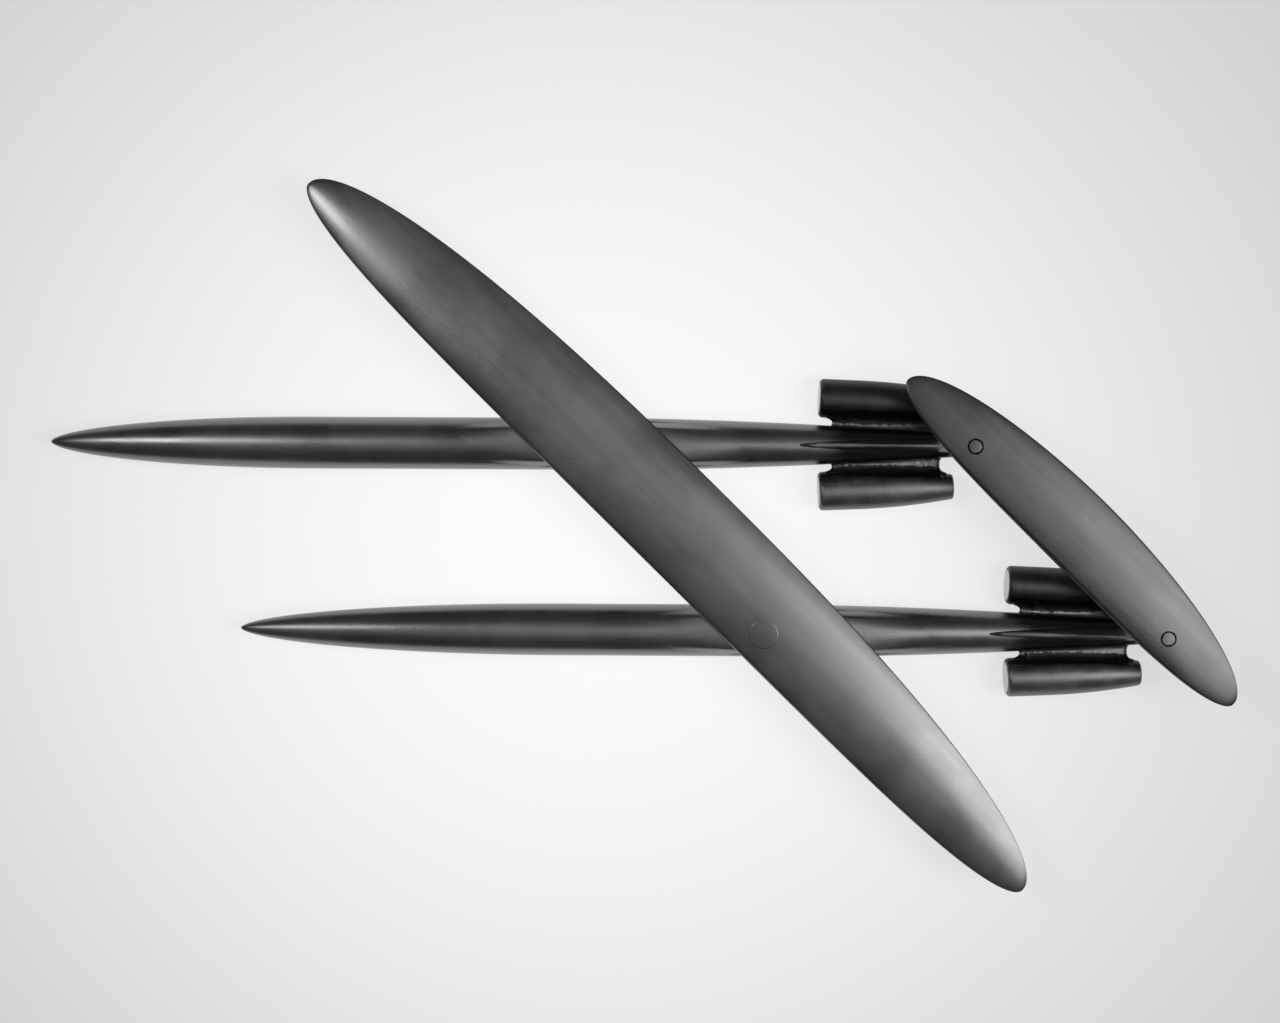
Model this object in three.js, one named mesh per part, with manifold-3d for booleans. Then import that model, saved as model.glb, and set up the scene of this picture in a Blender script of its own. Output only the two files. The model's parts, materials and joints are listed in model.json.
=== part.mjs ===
// Twin-fuselage oblique-wing aircraft, a bench model in metal.
// Two fuselages hang under one wing and one tailplane, each on a vertical pivot, so the
// four pivots form a parallelogram: the fuselages stay parallel while the wing sweeps.
// Millimetres, +Z up, nose toward -X, starboard toward +Y.
// The origin is at the middle of the overall box, on the surface the model stands on.

import * as THREE from 'three';
import { mergeVertices } from 'three/addons/utils/BufferGeometryUtils.js';
import Module from 'manifold-3d';

const wasm = await Module();
wasm.setup();

// ---------------------------------------------------------------- driving dimensions

const fitGap = 0.3; // between brazed, pressed or resting faces
const hingeGap = 0.3; // around a turning shank
const openPivotGap = 0.6; // around the port tail pin, where the linkage is left open

const sweepAngle = 45.5; // wing sweep as built, degrees
const pivotSpacing = 130; // between the two fuselages, along the wing
const wheelbase = 192; // wing pivot to tail pivot, along a fuselage

const fuselageRadius = 12.7;
const noseReach = 256; // wing pivot to nose tip
const starboardNoseLength = 128; // rounded part of the nose
const portNoseLength = 156;
const noseFullness = 0.56; // exponent of the nose profile
const tailReach = 214; // wing pivot to the flat tail base
const taperStart = 14; // wing pivot to the start of the tail taper
const taperRun = 242; // start of the taper to where the profile would close
const taperPower = 1.76;

const wingSpan = 485;
const wingLeadingChord = 15; // pivot line to leading edge at mid span
const wingChord = 49.5;
const wingThickness = 5.2;
const wingLeadingPower = 5.8; // how late the leading edge curves in toward the tip
const wingTrailingPower = 2.45;
const wingSection = { edge: 0.3, front: 0.86, rear: 0.95 }; // see sectionTop
const wingClearance = 0.8; // saddle top to wing underside

const tailSpan = 220;
const tailLeadingChord = 12.2;
const tailChord = 36.9;
const tailThickness = 4.2;
const tailLeadingPower = 3.8;
const tailTrailingPower = 1.9;
const tailSection = { edge: 0.6, front: 0.7, rear: 0.8 };
const tailHeight = 24.6; // fuselage axis to tailplane underside

const saddleRise = 1; // saddle top above the top of the fuselage
const saddleLength = 124;
const saddleAft = 13; // middle of the saddle behind the wing pivot
const saddleHalfWidth = 9;
const saddleFlare = 2.2; // how much wider the flanks get at their foot
const saddlePower = 2.2; // how the outline draws in to its two points

const bushDiameter = 13.4; // wing pivot bush
const bushStandOut = 0.5; // below the wing underside
const shoulderDiameter = 7; // wing pivot screw
const screwHeadDiameter = 11;
const screwHeadHeight = 1.1;
const plugThickness = 1.1; // disc that closes the bore above the screw head
const threadDiameter = 5;
const threadDepth = 9; // below the top of the fuselage

const tailPinDiameter = 6.1; // flush head of the tail pivot pin
const tailPinHeadHeight = 1.5;
const tailPinRingGap = 0.6; // dark ring around the head
const tailPinShankDiameter = 4;
const tailPinShankLength = 13; // below the tailplane underside

const finReach = 84; // fin root start ahead of the tail pivot
const finTopAhead = 13; // flat top of the fin, ahead of and behind the tail pivot
const finTopBehind = 9;
const finRootBehind = 21;
const finFootHalfWidth = 3.4;
const finCrestHalfWidth = 1.1;
const finRisePower = 1.5;
const finBossDiameter = 9;

const nacelleLength = 65.7;
const nacelleRadius = 9.5;
const nacelleFaceRadius = 8;
const nacelleLip = 1.6; // axial length of the rounded lip
const nacelleRearRadius = 6.1;
const nacelleTaperStart = 19.7;
const nacelleAhead = 72; // front face ahead of the tail pivot
const nacelleOffset = 22.8; // front face, sideways from the fuselage axis
const nacelleToeIn = 2.3; // degrees
const nacelleRearChamfer = 0.6;

const pylonInset = 1.6; // from each end of the nacelle, where the plate meets it
const pylonThickness = 5;
const pylonFlare = 4.6; // how much shorter the plate is, at each end, where it leaves the fuselage
const pylonFoot = 3; // how far each side of the plate reaches past the two axes before cutting

// ---------------------------------------------------------------- derived sizes

const nacelleDrop = fuselageRadius - nacelleRadius; // nacelles and fuselages share one ground line
const saddleTop = fuselageRadius + saddleRise;
const wingBase = saddleTop + wingClearance;
const bushBore = shoulderDiameter + 2 * hingeGap;
const wingBore = bushDiameter + 2 * fitGap;
const pivotHalfSpan = pivotSpacing / 2;

const roundSides = 32;
const smallSides = 24;
const degree = Math.PI / 180;

// ---------------------------------------------------------------- materials

const darkSatin = new THREE.MeshStandardMaterial({ color: 0x2b2b2c, roughness: 0.42, metalness: 0.55 });
const turnedSatin = new THREE.MeshStandardMaterial({ color: 0x3a3a3b, roughness: 0.38, metalness: 0.7 });
const brazedMetal = new THREE.MeshStandardMaterial({ color: 0x4a4947, roughness: 0.55, metalness: 0.7 });
const pinSteel = new THREE.MeshStandardMaterial({ color: 0x5a5a5a, roughness: 0.35, metalness: 0.9 });
const bushBronze = new THREE.MeshStandardMaterial({ color: 0x7d6a45, roughness: 0.4, metalness: 0.9 });

// ---------------------------------------------------------------- geometry helpers

// Keeps only positions, merges shared vertices, drops flat triangles, turns faces outward.
function closed(geometry) {
  const bare = new THREE.BufferGeometry();
  bare.setAttribute('position', geometry.getAttribute('position').clone());
  if (geometry.index) bare.setIndex(geometry.index.clone());
  const merged = mergeVertices(bare, 1e-4);
  const index = merged.index.array;
  const kept = [];
  for (let i = 0; i < index.length; i += 3) {
    const [a, b, c] = [index[i], index[i + 1], index[i + 2]];
    if (a !== b && b !== c && c !== a) kept.push(a, b, c);
  }
  merged.setIndex(kept);
  if (signedVolume(merged) < 0) {
    for (let i = 0; i < kept.length; i += 3) {
      [kept[i + 1], kept[i + 2]] = [kept[i + 2], kept[i + 1]];
    }
    merged.setIndex(kept);
  }
  return merged;
}

function signedVolume(geometry) {
  const position = geometry.getAttribute('position');
  const index = geometry.index.array;
  const [a, b, c] = [new THREE.Vector3(), new THREE.Vector3(), new THREE.Vector3()];
  let volume = 0;
  for (let i = 0; i < index.length; i += 3) {
    a.fromBufferAttribute(position, index[i]);
    b.fromBufferAttribute(position, index[i + 1]);
    c.fromBufferAttribute(position, index[i + 2]);
    volume += a.dot(b.cross(c)) / 6;
  }
  return volume;
}

function toSolid(geometry) {
  const clean = closed(geometry);
  return new wasm.Manifold(new wasm.Mesh({
    numProp: 3,
    vertProperties: new Float32Array(clean.getAttribute('position').array),
    triVerts: new Uint32Array(clean.index.array),
  }));
}

function toGeometry(solid) {
  const mesh = solid.getMesh();
  const geometry = new THREE.BufferGeometry();
  geometry.setAttribute('position', new THREE.BufferAttribute(new Float32Array(mesh.vertProperties), 3));
  geometry.setIndex(Array.from(mesh.triVerts));
  return geometry;
}

function cut(geometry, tools) {
  return toGeometry(tools.reduce((solid, tool) => solid.subtract(toSolid(tool)), toSolid(geometry)));
}

// Turned shape about the Z axis; the profile is [radius, height] pairs from axis to axis.
function turned(profile, sides = smallSides) {
  const points = profile.map(([radius, height]) => new THREE.Vector2(radius, height));
  return closed(new THREE.LatheGeometry(points, sides).rotateX(Math.PI / 2));
}

// Turned shape about the X axis, from an ordered list of [radius, x] pairs.
function turnedAlongX(profile, sides = roundSides) {
  return closed(turned(profile, sides).rotateY(Math.PI / 2));
}

function cylinder(diameter, bottom, top, x = 0, y = 0) {
  const radius = diameter / 2;
  return turned([[0, bottom], [radius, bottom], [radius, top], [0, top]]).translate(x, y, 0);
}

// Skin through rings of equal point counts, each end closed by a fan from its middle.
function loft(rings) {
  const count = rings[0].length;
  const points = rings.flat();
  const triangles = [];
  for (let ring = 0; ring < rings.length - 1; ring += 1) {
    for (let i = 0; i < count; i += 1) {
      const j = (i + 1) % count;
      const [a, b] = [ring * count + i, ring * count + j];
      triangles.push(a, b, b + count, a, b + count, a + count);
    }
  }
  for (const [ring, flip] of [[0, true], [rings.length - 1, false]]) {
    const middle = rings[ring].reduce((sum, p) => sum.add(p), new THREE.Vector3()).divideScalar(count);
    const centre = points.push(middle) - 1;
    for (let i = 0; i < count; i += 1) {
      const [a, b] = [ring * count + i, ring * count + ((i + 1) % count)];
      triangles.push(...(flip ? [centre, b, a] : [centre, a, b]));
    }
  }
  const geometry = new THREE.BufferGeometry().setFromPoints(points);
  geometry.setIndex(triangles);
  return closed(geometry);
}

function steps(count) {
  return Array.from({ length: count + 1 }, (_, i) => i / count);
}

function part(name, geometry, material) {
  const mesh = new THREE.Mesh(closed(geometry), material);
  mesh.name = name;
  return mesh;
}

// ---------------------------------------------------------------- fuselage

// Radius at x behind the wing pivot: a round nose, a straight barrel, a curved taper.
function fuselageRadiusAt(x, noseLength) {
  const intoNose = (x + noseReach) / noseLength;
  if (intoNose < 1) return fuselageRadius * (1 - (1 - intoNose) ** 2) ** noseFullness;
  const intoTaper = (x - taperStart) / taperRun;
  if (intoTaper <= 0) return fuselageRadius;
  return fuselageRadius * (1 - intoTaper ** taperPower);
}

function fuselageGeometry(noseLength, growth = 0) {
  const nose = steps(11).map((t) => -noseReach + noseLength * t ** 2);
  const taper = steps(10).map((t) => taperStart + (tailReach - taperStart) * t);
  const stations = [...nose, ...taper];
  const profile = stations.map((x) => [fuselageRadiusAt(x, noseLength), x]);
  const grown = profile.map(([radius, x]) => [radius > 0 ? radius + growth : 0, x]);
  return turnedAlongX([...grown, [0, tailReach]]);
}

function fuselagePart(side, noseLength) {
  const threadHole = cylinder(threadDiameter + 2 * fitGap, fuselageRadius - threadDepth, fuselageRadius + 1);
  return part(`${side}_fuselage`, cut(fuselageGeometry(noseLength), [threadHole]), darkSatin);
}

// ---------------------------------------------------------------- saddle under the wing

// Lens-shaped pad: flat top, flanks flaring down onto the round of the fuselage.
function saddleRing(height, extra) {
  const along = steps(14).map((t) => Math.cos(Math.PI * t));
  const halfWidth = (u) => (saddleHalfWidth + extra) * (1 - Math.abs(u) ** saddlePower);
  const reach = saddleLength / 2 + extra;
  const point = (u, sign) => new THREE.Vector3(saddleAft + u * reach, sign * halfWidth(u), height);
  return [...along.map((u) => point(u, -1)), ...along.slice(1, -1).reverse().map((u) => point(u, 1))];
}

function saddlePart(side, noseLength) {
  const block = loft([saddleRing(fuselageRadius / 2, saddleFlare), saddleRing(saddleTop, 0)]);
  const threadHole = cylinder(threadDiameter + 2 * fitGap, 0, saddleTop + 1);
  const bed = fuselageGeometry(noseLength, fitGap);
  return part(`${side}_wing_saddle`, cut(block, [bed, threadHole]), darkSatin);
}

// ---------------------------------------------------------------- lifting surfaces

// Section from leading edge (t = 0) to trailing edge (t = 1), as shares of the thickness.
// Both edges lie at one height. The crown rises from them by a power of the distance to each,
// and the underside bellies down from them as half an ellipse.
function sectionTop(t, { edge, front, rear }) {
  const crownAt = front / (front + rear);
  const crown = crownAt ** front * (1 - crownAt) ** rear;
  return edge + (1 - edge) * t ** front * (1 - t) ** rear / crown;
}

function sectionUnderside(t, { edge }) {
  return edge * (1 - Math.sqrt(4 * t * (1 - t)));
}

// Outline and thickness at a distance along the span; each edge closes by its own power.
function surfaceShape(span, leading, chord, leadingPower, trailingPower, thickness) {
  return (spanwise) => {
    const eta = Math.min(1, Math.abs(spanwise) / (span / 2));
    const ahead = leading * Math.sqrt(1 - eta ** leadingPower);
    const behind = (chord - leading) * Math.sqrt(1 - eta ** trailingPower);
    return { ahead, behind, height: thickness * (ahead + behind) / chord };
  };
}

function topAt(shape, section, spanwise) {
  const { ahead, behind, height } = shape(spanwise);
  return height * sectionTop(ahead / (ahead + behind), section);
}

function surfaceGeometry(span, shape, section, stationCount, topCount) {
  const crowded = (count) => steps(count).map((s) => (1 - Math.cos(Math.PI * s)) / 2);
  const rings = steps(stationCount).map((t) => {
    const spanwise = (span / 2) * Math.sin((t - 0.5) * Math.PI);
    const { ahead, behind, height } = shape(spanwise);
    const at = (x, share) => new THREE.Vector3(-ahead + (ahead + behind) * x, spanwise, height * share);
    const upper = crowded(topCount).map((x) => at(x, sectionTop(x, section)));
    const under = crowded(6).slice(1, -1).reverse().map((x) => at(x, sectionUnderside(x, section)));
    return [...upper, ...under];
  });
  return loft(rings);
}

const wingShape = surfaceShape(
  wingSpan, wingLeadingChord, wingChord, wingLeadingPower, wingTrailingPower, wingThickness,
);
const tailShape = surfaceShape(
  tailSpan, tailLeadingChord, tailChord, tailLeadingPower, tailTrailingPower, tailThickness,
);

const wingBlank = surfaceGeometry(wingSpan, wingShape, wingSection, 30, 12);
const tailBlank = surfaceGeometry(tailSpan, tailShape, tailSection, 24, 12);
const wingTopAtPivot = topAt(wingShape, wingSection, pivotHalfSpan);
const tailTopAtPivot = topAt(tailShape, tailSection, pivotHalfSpan);

function wingPart() {
  const bores = [1, -1].map((sign) => (
    cylinder(wingBore, -1, wingThickness + 1, 0, sign * pivotHalfSpan)
  ));
  return part('main_wing', cut(wingBlank, bores), darkSatin);
}

// ---------------------------------------------------------------- wing pivot

// Stacked down from the wing's top: plug, screw head, bush.
const bushBottom = -bushStandOut;
const plugBottom = wingTopAtPivot - plugThickness;
const screwHeadTop = plugBottom - fitGap;
const screwHeadBottom = screwHeadTop - screwHeadHeight;
const bushTop = screwHeadBottom - fitGap;

function bushPart(side, sign) {
  const ring = [
    [bushBore / 2, bushBottom],
    [bushDiameter / 2, bushBottom],
    [bushDiameter / 2, bushTop],
    [bushBore / 2, bushTop],
    [bushBore / 2, bushBottom],
  ];
  const geometry = turned(ring).translate(0, sign * pivotHalfSpan, 0);
  return part(`${side}_wing_pivot_bush`, geometry, bushBronze);
}

// Disc that closes the bore; its top follows the wing's own surface.
function plugPart(side, sign) {
  const disc = cylinder(bushDiameter, plugBottom, wingThickness + 1, 0, sign * pivotHalfSpan);
  const flush = toGeometry(toSolid(disc).intersect(toSolid(wingBlank)));
  return part(`${side}_wing_pivot_plug`, flush, turnedSatin);
}

function wingScrewPart(side) {
  const [head, shoulder, thread] = [screwHeadDiameter / 2, shoulderDiameter / 2, threadDiameter / 2];
  const profile = [
    [0, fuselageRadius - threadDepth + fitGap],
    [thread, fuselageRadius - threadDepth + fitGap],
    [thread, saddleTop + fitGap],
    [shoulder, saddleTop + fitGap],
    [shoulder, wingBase + screwHeadBottom],
    [head, wingBase + screwHeadBottom],
    [head, wingBase + screwHeadTop],
    [0, wingBase + screwHeadTop],
  ];
  return part(`${side}_wing_pivot_screw`, turned(profile), pinSteel);
}

// ---------------------------------------------------------------- tail pivot and fin

const tailWeb = tailTopAtPivot - tailPinHeadHeight - fitGap; // metal left under the pin head
const finTop = tailHeight - fitGap;

function tailplanePart() {
  const bores = [[1, hingeGap], [-1, openPivotGap]].flatMap(([sign, gap]) => [
    cylinder(tailPinShankDiameter + 2 * gap, -1, tailWeb + 1, 0, sign * pivotHalfSpan),
    cylinder(tailPinDiameter + 2 * tailPinRingGap, tailWeb, tailThickness + 1, 0, sign * pivotHalfSpan),
  ]);
  return part('tailplane', cut(tailBlank, bores), darkSatin);
}

function tailPinPart(side) {
  const [head, shank] = [tailPinDiameter / 2, tailPinShankDiameter / 2];
  const headBottom = tailHeight + tailWeb + fitGap;
  const profile = [
    [0, tailHeight - tailPinShankLength],
    [shank, tailHeight - tailPinShankLength],
    [shank, headBottom],
    [head, headBottom],
    [head, tailHeight + tailTopAtPivot],
    [0, tailHeight + tailTopAtPivot],
  ];
  const mesh = part(`${side}_tail_pivot_pin`, turned(profile), pinSteel);
  mesh.position.x = wheelbase;
  return mesh;
}

// Wedge-shaped fin: a crest climbing from the fuselage to a flat seat under the tailplane.
function finGeometry(noseLength) {
  const surface = (x) => fuselageRadiusAt(x, noseLength);
  const front = wheelbase - finReach;
  const seatFront = wheelbase - finTopAhead;
  const seatRear = wheelbase + finTopBehind;
  const rear = wheelbase + finRootBehind;
  const climb = steps(7).map((t) => {
    const x = front + (seatFront - front) * t;
    return [x, surface(front) + (finTop - surface(front)) * t ** finRisePower, 0.2 + 0.8 * Math.sqrt(t)];
  });
  const stations = [...climb, [seatRear, finTop, 1], [rear, surface(rear) + 2, 0.5]];
  return loft(stations.map(([x, crest, girth]) => {
    const base = surface(x) / 2;
    const foot = Math.min(finFootHalfWidth * girth, surface(x) * 0.8);
    const ridge = finCrestHalfWidth * girth;
    return [
      new THREE.Vector3(x, -foot, base),
      new THREE.Vector3(x, foot, base),
      new THREE.Vector3(x, ridge, crest + 0.2),
      new THREE.Vector3(x, -ridge, crest + 0.2),
    ];
  }));
}

function finPart(side, noseLength) {
  const bossFoot = fuselageRadiusAt(wheelbase, noseLength) / 2;
  const boss = cylinder(finBossDiameter, bossFoot, finTop, wheelbase);
  const above = new THREE.BoxGeometry(2 * finReach, 4 * finBossDiameter, 10)
    .translate(wheelbase, 0, finTop + 5);
  const joined = toGeometry(toSolid(finGeometry(noseLength)).add(toSolid(boss)));
  const pinHole = cylinder(
    tailPinShankDiameter + 2 * fitGap, tailHeight - tailPinShankLength - fitGap, finTop + 1, wheelbase,
  );
  return part(
    `${side}_fin`, cut(joined, [above, pinHole, fuselageGeometry(noseLength, fitGap)]), darkSatin,
  );
}

// ---------------------------------------------------------------- nacelles and pylons

// Solid turned nacelle, front face at x = 0, tapering to a chamfered rear face.
function nacelleGeometry(growth = 0) {
  const lip = steps(4).map((t) => {
    const turn = t * Math.PI / 2;
    const radius = nacelleFaceRadius + (nacelleRadius - nacelleFaceRadius) * Math.sin(turn);
    return [radius, nacelleLip * (1 - Math.cos(turn))];
  });
  const chamferStart = nacelleLength - nacelleRearChamfer;
  const barrel = steps(7).map((t) => [
    nacelleRadius - (nacelleRadius - nacelleRearRadius) * t ** 2,
    nacelleTaperStart + (chamferStart - nacelleTaperStart) * t,
  ]);
  const rear = [[nacelleRearRadius - nacelleRearChamfer, nacelleLength], [0, nacelleLength]];
  const profile = [[0, 0], ...lip, ...barrel, ...rear];
  return turnedAlongX(profile.map(([radius, x]) => [radius > 0 ? radius + growth : 0, x]));
}

function placeNacelle(object, sign) {
  object.position.set(wheelbase - nacelleAhead, sign * nacelleOffset, -nacelleDrop);
  object.rotation.z = -sign * nacelleToeIn * degree;
  object.updateMatrix();
  return object;
}

function nacellePart(name, sign) {
  return placeNacelle(part(name, nacelleGeometry(), turnedSatin), sign);
}

// Flat plate between fuselage and nacelle with hollowed ends, cut to both round surfaces.
function pylonPart(name, sign, noseLength) {
  const front = wheelbase - nacelleAhead + pylonInset;
  const rear = wheelbase - nacelleAhead + nacelleLength - pylonInset;
  const [inner, outer] = [pylonFoot, nacelleOffset - pylonFoot];
  const flank = nacelleOffset - nacelleRadius;
  const outline = new THREE.Shape();
  outline.moveTo(front + pylonFlare, inner);
  outline.quadraticCurveTo(front + pylonFlare, flank, front, flank + 1);
  outline.lineTo(front, outer);
  outline.lineTo(rear, outer);
  outline.lineTo(rear, flank + 1);
  outline.quadraticCurveTo(rear - pylonFlare, flank, rear - pylonFlare, inner);
  outline.closePath();
  const plate = new THREE.ExtrudeGeometry(outline, {
    depth: pylonThickness, bevelEnabled: false, curveSegments: 8,
  });
  plate.translate(0, 0, -(nacelleDrop + pylonThickness) / 2);
  if (sign < 0) plate.scale(1, -1, 1);
  const nacelle = nacelleGeometry(fitGap);
  nacelle.applyMatrix4(placeNacelle(new THREE.Object3D(), sign).matrix);
  return part(name, cut(plate, [fuselageGeometry(noseLength, fitGap), nacelle]), brazedMetal);
}

// ---------------------------------------------------------------- assembly

// One fuselage with all that is fixed to it; its origin is on its axis, at its wing pivot.
function fuselageGroup(side, noseLength, outboard) {
  const group = new THREE.Group();
  group.add(fuselagePart(side, noseLength));
  group.add(saddlePart(side, noseLength));
  group.add(wingScrewPart(side));
  group.add(finPart(side, noseLength));
  group.add(tailPinPart(side));
  for (const [where, sign] of [['outboard', outboard], ['inboard', -outboard]]) {
    group.add(pylonPart(`${side}_${where}_pylon`, sign, noseLength));
    group.add(nacellePart(`${side}_${where}_nacelle`, sign));
  }
  return group;
}

function wingGroup() {
  const group = new THREE.Group();
  group.add(wingPart());
  for (const [side, sign] of [['starboard', 1], ['port', -1]]) {
    group.add(bushPart(side, sign));
    group.add(plugPart(side, sign));
  }
  return group;
}

const starboardPivot = new THREE.Vector2(0, pivotHalfSpan).rotateAround(
  new THREE.Vector2(), sweepAngle * degree,
);

const model = new THREE.Group();
for (const [side, noseLength, sign] of [
  ['starboard', starboardNoseLength, 1],
  ['port', portNoseLength, -1],
]) {
  const group = fuselageGroup(side, noseLength, sign);
  group.position.set(sign * starboardPivot.x, sign * starboardPivot.y, fuselageRadius);
  model.add(group);
}

const wing = wingGroup();
wing.rotation.z = sweepAngle * degree;
wing.position.z = fuselageRadius + wingBase;
model.add(wing);

const tail = new THREE.Group();
tail.add(tailplanePart());
tail.rotation.z = sweepAngle * degree;
tail.position.set(wheelbase, 0, fuselageRadius + tailHeight);
model.add(tail);

// The origin goes to the middle of the overall box.
model.updateMatrixWorld(true);
const box = new THREE.Box3().setFromObject(model, true);
const centre = box.getCenter(new THREE.Vector3());
model.position.set(-centre.x, -centre.y, -box.min.z);

export default model;
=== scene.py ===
# %% [markdown]
# # An oblique-wing aircraft model
#
# The object is a hand-made metal model of an aircraft with two fuselages. One long wing and
# one small tailplane lie across both fuselages, each on a vertical pivot, so the wing can be
# swept while the fuselages stay parallel. The engineering model is loaded first and is never
# changed: it gives every pivot, axis and size. Each of its plain solids is then replaced by a
# finer surface worked out from a formula, which rides on the same body.

import json
import math

import bmesh
import bpy
import numpy as np
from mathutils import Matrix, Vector


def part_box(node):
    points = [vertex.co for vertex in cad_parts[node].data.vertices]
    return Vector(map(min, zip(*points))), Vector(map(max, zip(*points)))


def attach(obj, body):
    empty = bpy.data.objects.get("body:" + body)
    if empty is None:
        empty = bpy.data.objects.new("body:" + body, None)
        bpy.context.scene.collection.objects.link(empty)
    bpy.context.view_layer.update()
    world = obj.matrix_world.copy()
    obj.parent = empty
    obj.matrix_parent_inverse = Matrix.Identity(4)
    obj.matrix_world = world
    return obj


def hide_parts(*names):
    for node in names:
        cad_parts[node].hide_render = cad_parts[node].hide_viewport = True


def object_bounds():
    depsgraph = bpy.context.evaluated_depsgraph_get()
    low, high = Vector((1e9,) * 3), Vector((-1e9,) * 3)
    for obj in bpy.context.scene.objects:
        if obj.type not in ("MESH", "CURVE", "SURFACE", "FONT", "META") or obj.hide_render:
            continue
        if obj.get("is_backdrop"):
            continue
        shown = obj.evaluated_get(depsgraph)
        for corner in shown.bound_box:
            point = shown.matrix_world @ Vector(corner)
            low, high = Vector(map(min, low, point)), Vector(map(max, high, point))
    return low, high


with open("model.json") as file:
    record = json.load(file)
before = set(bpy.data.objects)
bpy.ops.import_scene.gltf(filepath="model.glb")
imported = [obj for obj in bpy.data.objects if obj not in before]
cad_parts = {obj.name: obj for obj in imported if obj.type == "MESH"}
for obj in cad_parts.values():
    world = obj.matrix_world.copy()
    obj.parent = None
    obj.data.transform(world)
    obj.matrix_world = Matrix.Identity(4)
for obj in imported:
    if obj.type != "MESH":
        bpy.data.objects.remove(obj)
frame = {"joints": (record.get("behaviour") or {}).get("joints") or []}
cad_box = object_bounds()
MM = 0.001
print("overall size, mm:", [round((b - a) / MM, 1) for a, b in zip(*cad_box)])

# %% [markdown]
# ## Where things are
#
# Every place comes from the frame. The joints give the pivots, and the boxes of a few solids
# give the rest: how high the fuselage axes lie, how far the noses reach, and where the flat
# undersides of the wing and the tailplane are. The sweep is the angle between the line that
# joins the two wing pivots and a line straight across the fuselages.

# %% Places taken from the frame
joints = {joint["name"]: joint for joint in frame["joints"]}
wing_pivot = {
    "starboard": np.array(joints["wing_sweep"]["pos_m"]),
    "port": np.array(joints["port_fuselage_swing"]["pos_m"]),
}
tail_pivot_starboard = np.array(joints["tailplane_sweep"]["pos_m"])
wheelbase = tail_pivot_starboard[0] - wing_pivot["starboard"][0]
pivot_line = wing_pivot["starboard"] - wing_pivot["port"]
pivot_spacing = float(np.linalg.norm(pivot_line))
sweep = math.atan2(-pivot_line[0], pivot_line[1])
wing_middle = (wing_pivot["starboard"] + wing_pivot["port"]) / 2

fuselage_low, fuselage_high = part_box("starboard_fuselage")
fuselage_radius = (fuselage_high.y - fuselage_low.y) / 2
axis_height = (fuselage_high.z + fuselage_low.z) / 2
nose_reach = wing_pivot["starboard"][0] - fuselage_low.x
tail_reach = fuselage_high.x - wing_pivot["starboard"][0]
wing_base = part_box("main_wing")[0].z
wing_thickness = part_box("main_wing")[1].z - wing_base
tail_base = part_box("tailplane")[0].z
tail_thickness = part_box("tailplane")[1].z - tail_base
saddle_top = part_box("starboard_wing_saddle")[1].z - axis_height

SIDES = {"starboard": 1, "port": -1}
SIDE_BODY = {side: f"{side}_fuselage_assembly" for side in SIDES}
print("pivot spacing, mm:", round(pivot_spacing / MM, 2))
print("sweep, degrees:", round(math.degrees(sweep), 2))

# %% [markdown]
# ## The camera
#
# The model is seen from straight above, as on a copy stand. The camera stands one metre over
# the floor and is a few degrees off plumb, which shows a little of the front faces of the
# nacelles and sets the pins and the fins slightly off the lines of the fuselages.

# %% Camera over the model
SENSOR_WIDTH, LENS = 36, 57
CAMERA_PLACE = (13.2 * MM, 61.6 * MM, 1.003)
CAMERA_TILT = (-2.86, 0.69, 0.246)
camera_data = bpy.data.cameras.new("copy_stand_camera")
camera_data.sensor_width = SENSOR_WIDTH
camera_data.lens = LENS
camera = bpy.data.objects.new("copy_stand_camera", camera_data)
camera.location = CAMERA_PLACE
camera.rotation_euler = [math.radians(angle) for angle in CAMERA_TILT]
bpy.context.scene.collection.objects.link(camera)
bpy.context.scene.camera = camera
print("camera height, mm:", round(camera.location.z / MM), "tilt, degrees:", CAMERA_TILT)

# %% [markdown]
# ## Skins from grids
#
# Every new piece is a skin: a grid of points with rows along the piece and columns round it.
# The columns close on themselves. A first or last row that lies in one point closes an end
# like a pole; any other open end gets a flat cap. The grid also carries a measure in metres,
# kept as a UV map. It tells how far along and round the piece a point lies, or something else
# that a finish follows, such as the height over a seam.

# %% A skin through a grid
MERGE_DISTANCE = 1e-6
SHORTEST_EDGE = 1e-7


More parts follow.
